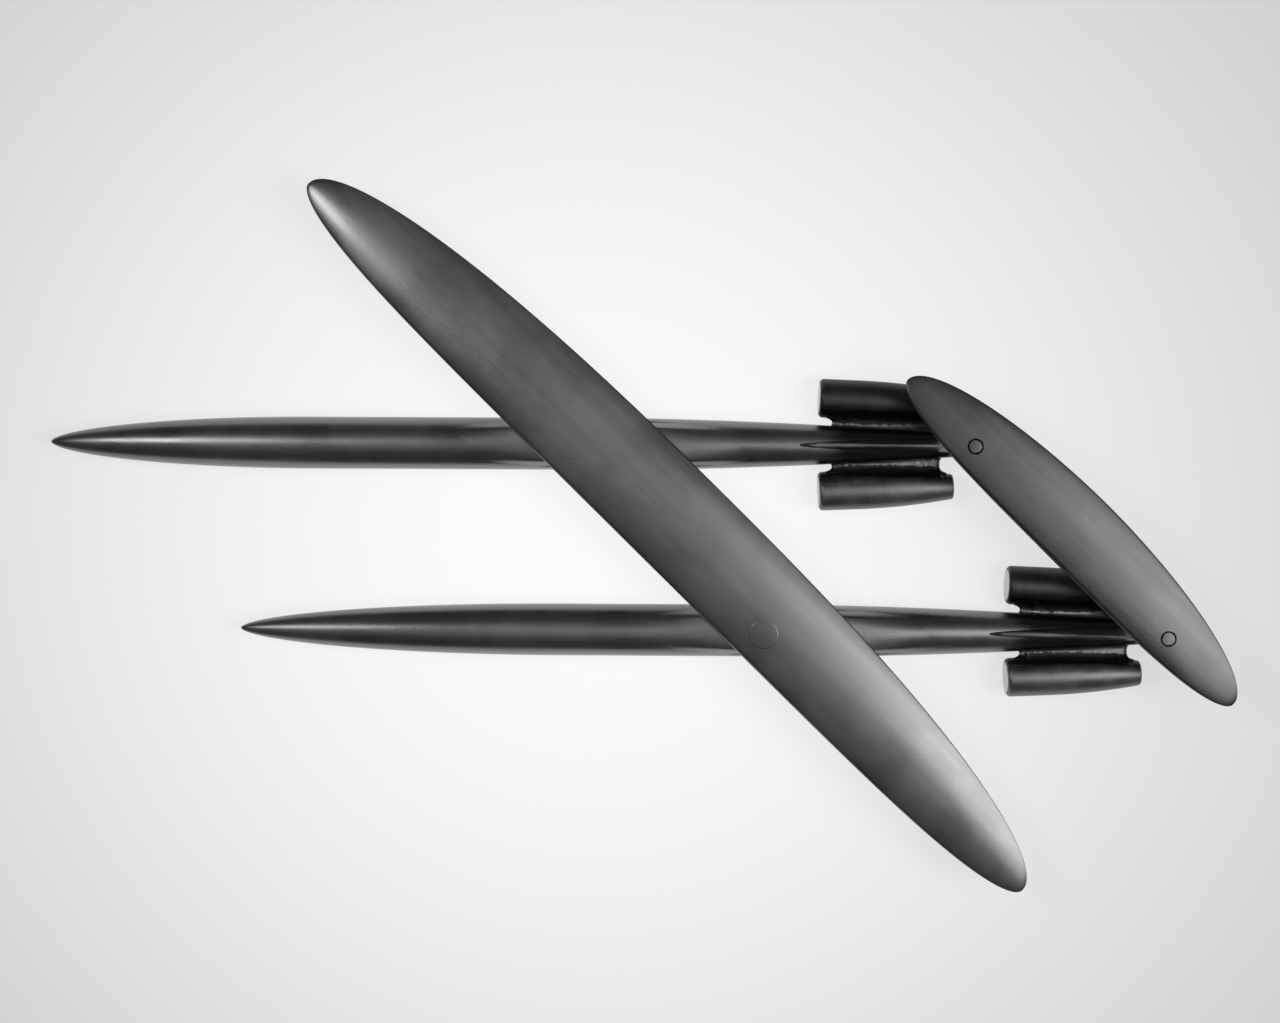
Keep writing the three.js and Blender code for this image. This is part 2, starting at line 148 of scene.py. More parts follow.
def skin(name, points, measure=None, sharp=40):
    """A mesh through a grid of points, rows x columns x 3. Face (i, j) joins rows i and i + 1
    and columns j and j + 1, the last column joins the first, and ends that aren't poles are
    capped. Edges over the sharp angle, in degrees, stay crisp."""
    rows, columns = points.shape[:2]
    row, column = np.meshgrid(np.arange(rows - 1), np.arange(columns), indexing="ij")
    beside = (column + 1) % columns
    corners = [row * columns + column, row * columns + beside,
               (row + 1) * columns + beside, (row + 1) * columns + column]
    faces = np.stack(corners, axis=-1).reshape(-1, 4)
    mesh = bpy.data.meshes.new(name)
    mesh.from_pydata(points.reshape(-1, 3).tolist(), [], faces.tolist())
    closing_step = np.zeros(rows)
    if measure is None:
        measure = np.stack([running_length(points, 0), running_length(points, 1)], axis=-1)
        closing_step = girth(points)
    last_column = measure[:, :1] + [0, 1] * closing_step[:, None, None]
    wrapped = np.concatenate([measure, last_column], axis=1)
    uv_corners = [wrapped[:-1, :-1], wrapped[:-1, 1:], wrapped[1:, 1:], wrapped[1:, :-1]]
    uv = np.stack(uv_corners, axis=2).reshape(-1)
    mesh.uv_layers.new(name="surface").data.foreach_set("uv", uv.astype(np.float32))
    close_skin(mesh)
    mesh.polygons.foreach_set("use_smooth", np.ones(len(mesh.polygons), bool))
    mesh.set_sharp_from_angle(angle=math.radians(sharp))
    piece = bpy.data.objects.new(name, mesh)
    bpy.context.scene.collection.objects.link(piece)
    return piece


def running_length(points, axis):
    """Distance gone along a grid axis, summed from step to step."""
    steps = np.linalg.norm(np.diff(points, axis=axis), axis=-1)
    first = np.zeros_like(np.take(steps, [0], axis=axis))
    return np.cumsum(np.concatenate([first, steps], axis=axis), axis=axis)


def girth(points):
    """Length of each closed row."""
    return np.linalg.norm(points - np.roll(points, 1, axis=1), axis=-1).sum(axis=1)


def close_skin(mesh):
    """Merges the points of poles, caps open ends and turns all faces outward."""
    bm = bmesh.new()
    bm.from_mesh(mesh)
    bmesh.ops.remove_doubles(bm, verts=bm.verts, dist=MERGE_DISTANCE)
    bmesh.ops.dissolve_degenerate(bm, dist=SHORTEST_EDGE, edges=bm.edges)
    open_edges = [edge for edge in bm.edges if edge.is_boundary]
    bmesh.ops.holes_fill(bm, edges=open_edges, sides=0)
    bmesh.ops.recalc_face_normals(bm, faces=bm.faces)
    bm.to_mesh(mesh)
    bm.free()


# %% Turned shapes, turns and rounded corners
def stacked(x, y, z):
    """Points from three grids of coordinates, of which some may be a single row or column."""
    return np.stack(np.broadcast_arrays(x, y, z), axis=-1)


def turned(profile, sides=96):
    """Rows of a turned shape about the X axis: radius r at x gives (x, r cos a, r sin a)."""
    x, radius = np.asarray(profile, float).T[:, :, None]
    turn = np.linspace(0, 2 * np.pi, sides, endpoint=False)
    return stacked(x, radius * np.cos(turn), radius * np.sin(turn))


def upright(points):
    """Turns a shape about X into one about Z."""
    return points[..., [2, 1, 0]] * [-1, 1, 1]


def turn_about_z(points, angle):
    """Rotates points by an angle about the Z axis."""
    c, s = math.cos(angle), math.sin(angle)
    return points @ np.array([[c, s, 0], [-s, c, 0], [0, 0, 1]])


def rounded(before, corner, after, reach):
    """A corner eased by a parabola, (1 - t)^2 start + 2 t (1 - t) corner + t^2 end, which
    touches both sides at a reach from the corner. No reach leaves the corner sharp."""
    if not reach:
        return corner[None, :]
    start = corner + (before - corner) / np.linalg.norm(before - corner) * reach
    end = corner + (after - corner) / np.linalg.norm(after - corner) * reach
    t = np.linspace(0, 1, 6)[:, None]
    return (1 - t) ** 2 * start + 2 * t * (1 - t) * corner + t ** 2 * end


def eased(outline, reaches):
    """A profile with each inner corner rounded by its own reach; the ends stay."""
    outline = np.array(outline, float)
    corners = zip(outline, outline[1:], outline[2:], reaches)
    middle = [rounded(before, corner, after, reach) for before, corner, after, reach in corners]
    return np.concatenate([outline[:1], *middle, outline[-1:]])


# %% What is done with every finished piece
pieces = {}


def finish_piece(piece, body, node):
    """The piece rides on its body and stands for its plain solid, which is hidden."""
    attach(piece, body)
    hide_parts(node)
    pieces[piece.name] = piece
    print(piece.name, len(piece.data.polygons), "faces")


# %% [markdown]
# ## The fuselages
#
# Each fuselage is an inch bar turned between centres: a long round nose, a straight barrel and
# a tail that tapers in a slow curve to a small flat end. A skin of revolution does this best,
# because the radius is one formula of the distance along the axis, and the rows can be packed
# where the nose curves most. The two noses were filed by hand and differ in length.

# %% Radius along a fuselage
NOSE_LENGTH = {"starboard": 128 * MM, "port": 156 * MM}
NOSE_FULLNESS = 0.56
TAPER_START = 14 * MM
TAPER_RUN = 242 * MM
TAPER_POWER = 1.76


def fuselage_radius_at(x, side):
    """Radius at x behind the wing pivot. Nose: R (1 - (1 - n)^2)^fullness, with n the share of
    the nose length gone. Taper: R (1 - t^power), with t the share of the taper run gone."""
    nose = np.clip((x + nose_reach) / NOSE_LENGTH[side], 0, 1)
    taper = np.clip((x - TAPER_START) / TAPER_RUN, 0, 1)
    return fuselage_radius * (1 - (1 - nose) ** 2) ** NOSE_FULLNESS * (1 - taper ** TAPER_POWER)


def on_side(points, side):
    """Moves points from a fuselage's own frame, wing pivot on its axis, to the model."""
    return points + [wing_pivot[side][0], wing_pivot[side][1], axis_height]


# %% Two fuselages
TAIL_EDGE = 0.5 * MM
NOSE_CROWDING = 2.2


def fuselage_profile(side):
    """Nose rows crowded toward the tip as a power of the way gone, even rows from there on,
    a quarter-round edge at the tail and the middle of the tail's flat end."""
    nose_x = -nose_reach + NOSE_LENGTH[side] * np.linspace(0, 1, 90) ** NOSE_CROWDING
    rest_x = np.linspace(NOSE_LENGTH[side] - nose_reach, tail_reach - TAIL_EDGE, 170)[1:]
    x = np.concatenate([nose_x, rest_x])
    end_radius = fuselage_radius_at(np.array(tail_reach), side)
    turn = np.linspace(0, np.pi / 2, 6)[1:]
    edge_x = tail_reach - TAIL_EDGE * (1 - np.sin(turn))
    edge_r = end_radius - TAIL_EDGE * (1 - np.cos(turn))
    return np.column_stack([
        np.concatenate([x, edge_x, [tail_reach]]),
        np.concatenate([fuselage_radius_at(x, side), edge_r, [0]]),
    ])


for side in SIDES:
    points = turned(fuselage_profile(side), 128)
    measure = np.stack([points[..., 0], running_length(points, 1)], axis=-1)
    piece = skin(f"{side}_fuselage_turned", on_side(points, side), measure)
    finish_piece(piece, SIDE_BODY[side], f"{side}_fuselage")

# %% [markdown]
# ## The saddles
#
# Under the wing each fuselage carries a brazed pad. Its top is flat, and its flanks run out
# onto the round of the bar in smooth hollows, so that hardly an edge is seen, and fore and aft
# it fades into the bar. It was filed with the wing swept, so it leans the wing's way. Across
# the pad the height blends from the flat top to the round of the bar, which makes the hollow
# by itself.

# %% Saddle pads
SADDLE_AFT, SADDLE_HALF = 13 * MM, 72 * MM
SADDLE_FOOT, SADDLE_DRAW = 12.2 * MM, 0.35
SADDLE_FLAT = 0.66
SADDLE_SKEW = 0.7
SADDLE_FALL = 0.3 * MM
SADDLE_SINK = 0.05 * MM
INSIDE_BAR = 0.5


def smooth_step(value, low, high):
    """0 below low, 1 above high, and 3 t^2 - 2 t^3 between."""
    t = np.clip((value - low) / (high - low), 0, 1)
    return t * t * (3 - 2 * t)


def saddle_points(side):
    """Rows along the pad, columns over it from foot to foot and back inside the bar. With u
    from -1 to 1 along it, the foot's half width is W (1 - draw u^2), and rows lean by a skew
    times the distance across. The flat top falls as u^2. Across, the height blends from the
    flat top, kept for a share of the width, to the bar's own round, and the whole blend fades
    as (1 - u^2)^2. Near its rim the pad sinks a hair into the bar, so that no edge shows."""
    u = np.sin(np.linspace(-np.pi / 2, np.pi / 2, 161))[:, None]
    a = np.linspace(1, -1, 81)[None, :]
    foot = SADDLE_FOOT * (1 - SADDLE_DRAW * u ** 2)
    across = foot * a
    along = SADDLE_AFT + u * SADDLE_HALF - SADDLE_SKEW * across
    bar = fuselage_radius_at(along, side)
    round_top = np.sqrt(bar ** 2 - across ** 2)
    flat_top = saddle_top - SADDLE_FALL * u ** 2
    flatness = (1 - u ** 2) ** 2 * (1 - smooth_step(np.abs(a), SADDLE_FLAT, 1))
    near_rim = np.maximum(smooth_step(np.abs(a), 0.8, 1), smooth_step(np.abs(u), 0.6, 1))
    height = round_top + (flat_top - round_top) * flatness - SADDLE_SINK * near_rim
    over = stacked(along, across, height)
    under = stacked(along[:, ::-8], across[:, ::-8], INSIDE_BAR * bar[:, ::-8])
    return np.concatenate([over, under], axis=1)


for side in SIDES:
    piece = skin(f"{side}_saddle_filed", on_side(saddle_points(side), side), sharp=60)
    finish_piece(piece, SIDE_BODY[side], f"{side}_wing_saddle")

# %% [markdown]
# ## The wing and the tailplane
#
# Both are plates filed by hand to a thin section with its crown near the middle of the
# chord; the tailplane is flatter on top and falls off late. Seen from above, each edge is its
# own oval arc: the leading edge stays nearly straight and turns in late, the trailing edge
# bows all along. Rows run along the span, crowded toward the tips, and columns run round the
# section, crowded at the two edges. The bores for the pivots are cut afterwards, because a
# hole through a plate isn't a grid.

# %% Section and outline of a lifting surface
LEADING_ROUND, TRAILING_BEVEL = 1.8 * MM, 0.5 * MM
LEADING_LINE, TRAILING_LINE = 0.35, 0.92
SMALLEST_CHORD = 1e-9


class Surface:
    """A lifting surface in its own frame: y along the span, x aft, z up from its underside.
    Its section is the share of the thickness left at the edges and the powers with which the
    top rises at the front and falls at the rear."""

    def __init__(self, span, ahead, chord, edge_powers, thickness, section):
        self.half = span / 2
        self.leading, self.trailing = ahead, chord - ahead
        self.edge_powers = edge_powers
        self.chord, self.thickness = chord, thickness
        self.edge, self.front, self.rear = section

    def edges(self, y):
        """Distances of the two edges from the pivot line: E (1 - |y / half span|^power)^0.5."""
        eta = np.clip(np.abs(y) / self.half, 0, 1)
        ahead = self.leading * np.sqrt(1 - eta ** self.edge_powers[0])
        behind = self.trailing * np.sqrt(1 - eta ** self.edge_powers[1])
        return ahead, behind

    def top(self, x, y):
        """Upper surface. With t the share of the chord gone, it is the edge height plus
        t^front (1 - t)^rear over that law's own peak, times the thickness there. It comes
        down to the leading edge line as a quarter ellipse, and to the trailing one as a
        parabola."""
        ahead, behind = self.edges(y)
        t = np.clip((x + ahead) / np.maximum(ahead + behind, SMALLEST_CHORD), 0, 1)
        crown_at = self.front / (self.front + self.rear)
        crown = crown_at ** self.front * (1 - crown_at) ** self.rear
        rise = t ** self.front * (1 - t) ** self.rear / crown
        at_front = np.clip(1 - t * self.chord / LEADING_ROUND, 0, 1)
        at_rear = np.clip(1 - (1 - t) * self.chord / TRAILING_BEVEL, 0, 1)
        leading_fall = (1 - LEADING_LINE) * (1 - np.sqrt(1 - at_front ** 2))
        trailing_fall = (1 - TRAILING_LINE) * at_rear ** 2
        share = self.edge * (1 - (leading_fall + trailing_fall)) + (1 - self.edge) * rise
        return self.thickness * (ahead + behind) / self.chord * share

    def points(self, rows, columns):
        """Closed rows: back over the top from the leading edge, then forward along the
        underside, which bellies down from the edge line as half an ellipse."""
        y = self.half * np.sin(np.linspace(-np.pi / 2, np.pi / 2, rows))[:, None]
        ahead, behind = self.edges(y)
        t_top = (1 - np.cos(np.linspace(0, np.pi, columns)))[None, :] / 2
        t_low = t_top[:, ::-1][:, 1:-1]
        x_top, x_low = -ahead + (ahead + behind) * t_top, -ahead + (ahead + behind) * t_low
        scale = self.thickness * (ahead + behind) / self.chord
        edge_line = self.edge * (LEADING_LINE + (TRAILING_LINE - LEADING_LINE) * t_low)
        z_low = scale * edge_line * (1 - np.sqrt(4 * t_low * (1 - t_low)))
        x = np.concatenate([x_top, x_low], axis=1)
        z = np.concatenate([self.top(x_top, y), z_low], axis=1)
        return stacked(x, y, z)


# %% The two surfaces
wing = Surface(span=485 * MM, ahead=15 * MM, chord=49.5 * MM, edge_powers=(5.8, 2.45),
               thickness=wing_thickness, section=(0.3, 0.86, 0.95))
tail = Surface(span=220 * MM, ahead=12.2 * MM, chord=36.9 * MM, edge_powers=(3.8, 1.9),
               thickness=tail_thickness, section=(0.6, 0.58, 0.72))
wing_top_at_pivot = float(wing.top(0.0, pivot_spacing / 2))
tail_top_at_pivot = float(tail.top(0.0, pivot_spacing / 2))
print("wing at its pivots, mm thick:", round(wing_top_at_pivot / MM, 2))
print("tailplane at its pivots, mm thick:", round(tail_top_at_pivot / MM, 2))


def on_wing(points):
    """Turns points to the wing's sweep and moves them to the wing."""
    return turn_about_z(points, sweep) + [wing_middle[0], wing_middle[1], wing_base]


def on_tail(points):
    """The same for the tailplane."""
    return turn_about_z(points, sweep) + [wing_middle[0] + wheelbase, wing_middle[1], tail_base]


# %% Bores
def bored(piece, profiles, place):
    """Cuts turned cutters out of a piece at both pivots, with Boolean modifiers that are
    applied at once, so that only their result is kept."""
    cutters = []
    for sign, profile in zip((1, -1), profiles):
        shape = upright(turned(profile, 96)) + [0, sign * pivot_spacing / 2, 0]
        cutter = skin("cutter", place(shape))
        cutters.append(cutter)
        cut = piece.modifiers.new("bore", "BOOLEAN")
        cut.operation, cut.solver, cut.object = "DIFFERENCE", "EXACT", cutter
    view_layer = bpy.context.evaluated_depsgraph_get()
    result = bpy.data.meshes.new_from_object(piece.evaluated_get(view_layer))
    piece.modifiers.clear()
    piece.data = result
    for cutter in cutters:
        bpy.data.objects.remove(cutter)
    result.polygons.foreach_set("use_smooth", np.ones(len(result.polygons), bool))
    result.set_sharp_from_angle(angle=math.radians(40))


def bore_profile(radius, floor, rim_radius, rim_floor, rim_top):
    """Outline of a stepped cutter about its axis, from below the plate to above it."""
    return [[floor, 0], [floor, radius], [rim_floor, radius], [rim_floor, rim_radius],
            [rim_top, rim_radius], [rim_top, 0]]


# %% Wing
PLUG_RADIUS = 6.9 * MM
PLUG_GAP = 0.02 * MM
BEYOND = 2 * MM
bore_radius = PLUG_RADIUS + PLUG_GAP
wing_bore = bore_profile(bore_radius, -BEYOND, bore_radius, 0, wing_thickness + BEYOND)
wing_piece = skin("wing_filed", on_wing(wing.points(281, 61)), sharp=50)
bored(wing_piece, [wing_bore, wing_bore], on_wing)
finish_piece(wing_piece, "wing_assembly", "main_wing")

# %% Tailplane
PIN_RADIUS = 3.05 * MM
PIN_RING = 0.62 * MM
SHANK_RADIUS = 2 * MM
SHANK_GAP = {"starboard": 0.3 * MM, "port": 0.6 * MM}
PIN_HEAD = 1.5 * MM
STACK_GAP = 0.3 * MM
tail_web = tail_top_at_pivot - PIN_HEAD - STACK_GAP
tail_piece = skin("tailplane_filed", on_tail(tail.points(221, 55)), sharp=50)
tail_bores = [
    bore_profile(SHANK_RADIUS + SHANK_GAP[side], -BEYOND, PIN_RADIUS + PIN_RING, tail_web,
                 tail_thickness + BEYOND)
    for side in SIDES
]
bored(tail_piece, tail_bores, on_tail)
finish_piece(tail_piece, "tailplane_assembly", "tailplane")

# %% [markdown]
# ## The pivots
#
# In the wing each pivot is a bronze bush that turns on the shoulder of a screw, and a thin
# plug closes the bore above the screw head. The plug was filed down together with the wing,
# so only a hairline circle is left of it: its top is computed from the wing's own formula.
# In the tailplane the pivot is a headed pin whose flat head shows in its counterbore. All
# but the plugs are plain turned shapes, so a profile with eased corners is enough.

# %% Wing plugs
PLUG_THICKNESS = 1.1 * MM
PLUG_EDGE = 0.35 * MM
PLUG_DROP = {"starboard": 0.015 * MM, "port": 0.07 * MM}


def plug_points(side, sign):
    """Rows go out from the middle of the underside, up the wall and in over the top to the
    middle. The top is the wing's own surface, less a drop that grows toward the rim as the
    square of the share of the edge gone."""
    share = np.linspace(1, 0, 6)
    rim = PLUG_RADIUS - PLUG_EDGE * (1 - share)
    inward = np.linspace(PLUG_RADIUS - 1.3 * PLUG_EDGE, 0, 14)
    radius = np.concatenate([[0, PLUG_RADIUS], rim, inward])[:, None]
    depth = PLUG_DROP[side] * np.concatenate([[0, 0], share ** 2, np.zeros_like(inward)])[:, None]
    turn = np.linspace(0, 2 * np.pi, 96, endpoint=False)
    x = radius * np.cos(turn)
    y = sign * pivot_spacing / 2 + radius * np.sin(turn)
    z = wing.top(x, y) - depth
    z[:2] = wing_top_at_pivot - PLUG_THICKNESS
    return stacked(x, y, z)


for side, sign in SIDES.items():
    piece = skin(f"{side}_plug_flush", on_wing(plug_points(side, sign)))
    finish_piece(piece, "wing_assembly", f"{side}_wing_pivot_plug")

# %% Bushes and screws
BUSH_RADIUS = 6.7 * MM
BUSH_BORE = 3.8 * MM
BUSH_STAND_OUT = 0.5 * MM
SCREW_HEAD_RADIUS, SCREW_HEAD_HEIGHT = 5.5 * MM, 1.1 * MM
SHOULDER_RADIUS = 3.5 * MM
THREAD_RADIUS = 2.5 * MM
THREAD_DEPTH = 9 * MM
screw_head_top = wing_top_at_pivot - PLUG_THICKNESS - STACK_GAP
screw_head_low = screw_head_top - SCREW_HEAD_HEIGHT


def on_pivot(points, side, base):
    """Stands a turned shape on a wing pivot, with its zero at a height."""
    return upright(points) + [wing_pivot[side][0], wing_pivot[side][1], base]


def bush_profile():
    """Outline of the bush: lower end, outside, upper end and back down the bore."""
    low, high = -BUSH_STAND_OUT, screw_head_low - STACK_GAP
    outline = [[low, BUSH_BORE], [low, BUSH_RADIUS], [high, BUSH_RADIUS], [high, BUSH_BORE],
               [low, BUSH_BORE]]
    return eased(outline, [0.25 * MM, 0.25 * MM, 0.15 * MM])


def screw_profile():
    """Outline of the screw: thread, shoulder and flat head, from the tip up."""
    foot = axis_height + saddle_top - wing_base + STACK_GAP
    tip = axis_height + fuselage_radius - THREAD_DEPTH + STACK_GAP - wing_base
    outline = [[tip, 0], [tip, THREAD_RADIUS], [foot, THREAD_RADIUS], [foot, SHOULDER_RADIUS],
               [screw_head_low, SHOULDER_RADIUS], [screw_head_low, SCREW_HEAD_RADIUS],
               [screw_head_top, SCREW_HEAD_RADIUS], [screw_head_top, 0]]
    return eased(outline, [0.4 * MM, 0, 0.2 * MM, 0, 0.15 * MM, 0.25 * MM])


for side in SIDES:
    bush = on_pivot(turned(bush_profile(), 64), side, wing_base)
    piece = skin(f"{side}_bush_turned", bush)
    finish_piece(piece, "wing_assembly", f"{side}_wing_pivot_bush")
    screw = on_pivot(turned(screw_profile(), 64), side, wing_base)
    piece = skin(f"{side}_screw_turned", screw)
    finish_piece(piece, SIDE_BODY[side], f"{side}_wing_pivot_screw")

# %% Tail pins
PIN_LENGTH = 13 * MM
PIN_WOBBLE = 0.09 * MM


def pin_points(number):
    """A turned pin whose head was hammered a little out of round: its radius swells by the
    sum of a wave with three crests and one with seven."""
    head_low = tail_web + STACK_GAP
    outline = [[-PIN_LENGTH, 0], [-PIN_LENGTH, SHANK_RADIUS], [head_low, SHANK_RADIUS],
               [head_low, PIN_RADIUS], [tail_top_at_pivot, PIN_RADIUS], [tail_top_at_pivot, 0]]
    pin = turned(eased(outline, [0.4 * MM, 0, 0.1 * MM, 0.12 * MM]), 72)
    around = np.arctan2(pin[..., 2], pin[..., 1])
    reach = np.hypot(pin[..., 1], pin[..., 2])
    dents = np.sin(3 * around + number) + 0.6 * np.sin(7 * around + 2 * number)
    dented = 1 + PIN_WOBBLE / PIN_RADIUS * dents * smooth_step(reach, SHANK_RADIUS, PIN_RADIUS)
    return pin * stacked(1.0, dented, dented)


for number, side in enumerate(SIDES):
    place = [wing_pivot[side][0] + wheelbase, wing_pivot[side][1], tail_base]
    piece = skin(f"{side}_pin_turned", upright(pin_points(number)) + place)
    finish_piece(piece, SIDE_BODY[side], f"{side}_tail_pivot_pin")

# %% [markdown]
# ## The fins
#
# A fin is a wedge that climbs from the fuselage to a seat under the tailplane. It was brazed
# on, black at the seam and filed bare above it. Each cross-section narrows from a wide foot
# to a round crest; near the pivot the section swells to a round boss that takes the pin. Rows
# along the fuselage let one power law set the climb of the crest.

# %% Fins
FIN_REACH = 84 * MM
SEAT_AHEAD, SEAT_BEHIND, FIN_BEHIND = 13 * MM, 9 * MM, 21 * MM
FIN_FOOT, FIN_CREST, FIN_BOSS = 3.4 * MM, 1.1 * MM, 4.5 * MM
FIN_RISE, FIN_FALL = 1.5, 1.1
FIN_SINK, FIN_END_HEIGHT = 0.15 * MM, 1 * MM
FIN_ROOT = 0.55
SEAT_GAP = 0.3 * MM


def fin_points(side):
    """Rows run aft. The crest height climbs as a power of the way gone, stays level under the
    tailplane and falls to the tail. A column at angle a stands at sin(a)^0.8 of the height
    and at cos(a)^0.4 of the half width there, which is the crest's plus a foot that fades as
    the 2.5th power of the height left, or the round of the boss where that is wider. Also
    gives the height over the seam."""
    x = np.concatenate([
        np.linspace(-FIN_REACH, -SEAT_AHEAD, 80),
        np.linspace(-SEAT_AHEAD, SEAT_BEHIND, 60)[1:],
        np.linspace(SEAT_BEHIND, FIN_BEHIND, 24)[1:],
    ])[:, None]
    surface = fuselage_radius_at(x + wheelbase, side)
    seat = tail_base - axis_height - SEAT_GAP
    climb = np.clip((x + FIN_REACH) / (FIN_REACH - SEAT_AHEAD), 0, 1)
    fall = np.clip((x - SEAT_BEHIND) / (FIN_BEHIND - SEAT_BEHIND), 0, 1)
    low_front = fuselage_radius_at(np.array(wheelbase - FIN_REACH), side) - FIN_SINK
    crest = low_front + (seat - low_front) * climb ** FIN_RISE
    crest = crest + (surface + FIN_END_HEIGHT - crest) * fall ** FIN_FALL
    base = FIN_ROOT * surface
    a = np.linspace(0, np.pi, 61)[None, :]
    up = np.sin(a) ** 0.8
    height = base + (crest - base) * up
    girth_share = (0.15 + 0.85 * np.sqrt(climb)) * (1 - 0.45 * fall)
    above = np.clip((height - surface) / (seat - surface), 0, 1)
    half = girth_share * (FIN_CREST + (FIN_FOOT - FIN_CREST) * (1 - above) ** 2.5)
    boss = np.sqrt(np.clip(FIN_BOSS ** 2 - x ** 2, 0, None))
    half = np.maximum(half, boss)
    across = np.sign(np.cos(a)) * np.abs(np.cos(a)) ** 0.4 * half
    return stacked(x + wheelbase, across, height), height - surface


for side in SIDES:
    points, over_seam = fin_points(side)
    measure = np.stack([points[..., 0], over_seam], axis=-1)
    piece = skin(f"{side}_fin_brazed", on_side(points, side), measure, sharp=50)
    finish_piece(piece, SIDE_BODY[side], f"{side}_fin")

# %% [markdown]
# ## The nacelles
#
# Each engine is a solid turned slug. It has a flat front face with a round lip, is fullest
# just behind the lip and thins toward a flat rear face. The lathe left a small centre mark in
# each face. The slugs toe in a little toward the tail, as the boat-tail of the fuselage does.

# %% Nacelles
NACELLE_LENGTH, NACELLE_RADIUS = 65.7 * MM, 9.5 * MM
NACELLE_FACE, NACELLE_REAR = 7.6 * MM, 6.1 * MM
NACELLE_LIP, NACELLE_FULL = 2.1 * MM, 19.7 * MM
NACELLE_EDGE = 0.6 * MM
CENTRE_MARK, CENTRE_DEPTH = 0.7 * MM, 0.6 * MM
REAR_MARK, REAR_DEPTH = 0.6 * MM, 0.5 * MM
NACELLE_AHEAD, NACELLE_OFFSET = 72 * MM, 22.8 * MM
NACELLE_TOE = math.radians(2.3)
nacelle_drop = fuselage_radius - NACELLE_RADIUS
NACELLES = [(side, where, sign * out) for side, sign in SIDES.items()
            for where, out in (("outboard", 1), ("inboard", -1))]


def nacelle_profile():
    """Front centre mark, flat face, a quarter-ellipse lip, the full barrel, a taper that
    falls as the square of the way gone, and the rear face."""
    turn = np.linspace(0, np.pi / 2, 14)
    lip = np.column_stack([NACELLE_LIP * (1 - np.cos(turn)),
                           NACELLE_FACE + (NACELLE_RADIUS - NACELLE_FACE) * np.sin(turn)])
    way = np.linspace(0, 1, 60)
    rear = NACELLE_LENGTH - NACELLE_EDGE
    barrel = np.column_stack([NACELLE_FULL + (rear - NACELLE_FULL) * way,
                              NACELLE_RADIUS - (NACELLE_RADIUS - NACELLE_REAR) * way ** 2])
    face = [[CENTRE_DEPTH, 0], [0, CENTRE_MARK], [0, NACELLE_FACE * 0.5], [0, NACELLE_FACE * 0.97]]
    back = [[NACELLE_LENGTH, NACELLE_REAR - NACELLE_EDGE], [NACELLE_LENGTH, REAR_MARK],
            [NACELLE_LENGTH - REAR_DEPTH, 0]]
    level_x = np.linspace(NACELLE_LIP, NACELLE_FULL, 12)[1:-1]
    level = np.column_stack([level_x, np.full_like(level_x, NACELLE_RADIUS)])
    return np.concatenate([face, lip, level, barrel, back])


def nacelle_place(sign):
    """Front face centre of a nacelle in the fuselage's frame."""
    return np.array([wheelbase - NACELLE_AHEAD, sign * NACELLE_OFFSET, -nacelle_drop])


for side, where, sign in NACELLES:
    slug = turned(nacelle_profile(), 112)
    inward = -np.sign(sign) * slug[..., 1]
    measure = np.stack([running_length(slug, 0), inward], axis=-1)
    points = turn_about_z(slug, -sign * NACELLE_TOE) + nacelle_place(sign)
    piece = skin(f"{side}_{where}_nacelle_turned", on_side(points, side), measure, sharp=30)
    finish_piece(piece, SIDE_BODY[side], f"{side}_{where}_nacelle")

# %% [markdown]
# ## The pylons
#
# A pylon is a short flat plate brazed to the fuselage on one side and to the nacelle on the
# other. Its ends are hollow: they sweep out to the ends of the nacelle. The braze was left as
# it flowed: a low bead along the fuselage, and a wide wavy cove that climbs the nacelle. The
# skin runs across the gap in rows; each row is a flat rounded loop round the plate, and it
# swells where it nears either body.

# %% Pylons
PYLON_INSET = 6.9 * MM
FLARE_OUT, FLARE_IN, FLARE_REACH = 3.6 * MM, 1.2 * MM, 0.9 * MM
PYLON_HALF = 1.5 * MM
PYLON_SINK_IN, PYLON_SINK_OUT = 1.6 * MM, 2.4 * MM
BEAD_REACH, BEAD_RISE, BEAD_WAVES = 0.7 * MM, 0.5 * MM, 0.6
COVE_RADIUS, COVE_WAVES = 6 * MM, 0.25
PLATE_WAVES = 0.12 * MM
BRAZE_SEED, PLATE_SEED = 11, 40
BRIGHT_END, BRIGHT_REACH = 3 * MM, 2.5 * MM
pylon_height = -nacelle_drop / 2


def waves(along, across, seed):
    """A gentle unevenness between -1 and 1: the mean of a few sine waves whose lengths,
    slants and phases are drawn from a seeded generator."""
    draw = np.random.default_rng(seed)
    total = 0
    for _ in range(6):
        length = draw.uniform(2.5, 12) * MM
        slant = draw.uniform(-0.6, 0.6)
        phase = draw.uniform(0, 6.3)
        total = total + np.sin(2 * np.pi * (along + slant * across) / length + phase) / 6
    return total


def nacelle_flank(along):
    """Distance from the fuselage axis to the inner flank of a nacelle."""
    gone = along - wheelbase + NACELLE_AHEAD
    taper = np.clip((gone - NACELLE_FULL) / (NACELLE_LENGTH - NACELLE_FULL), 0, 1) ** 2
    radius = NACELLE_RADIUS - (NACELLE_RADIUS - NACELLE_REAR) * taper
    return NACELLE_OFFSET - math.tan(NACELLE_TOE) * gone - radius


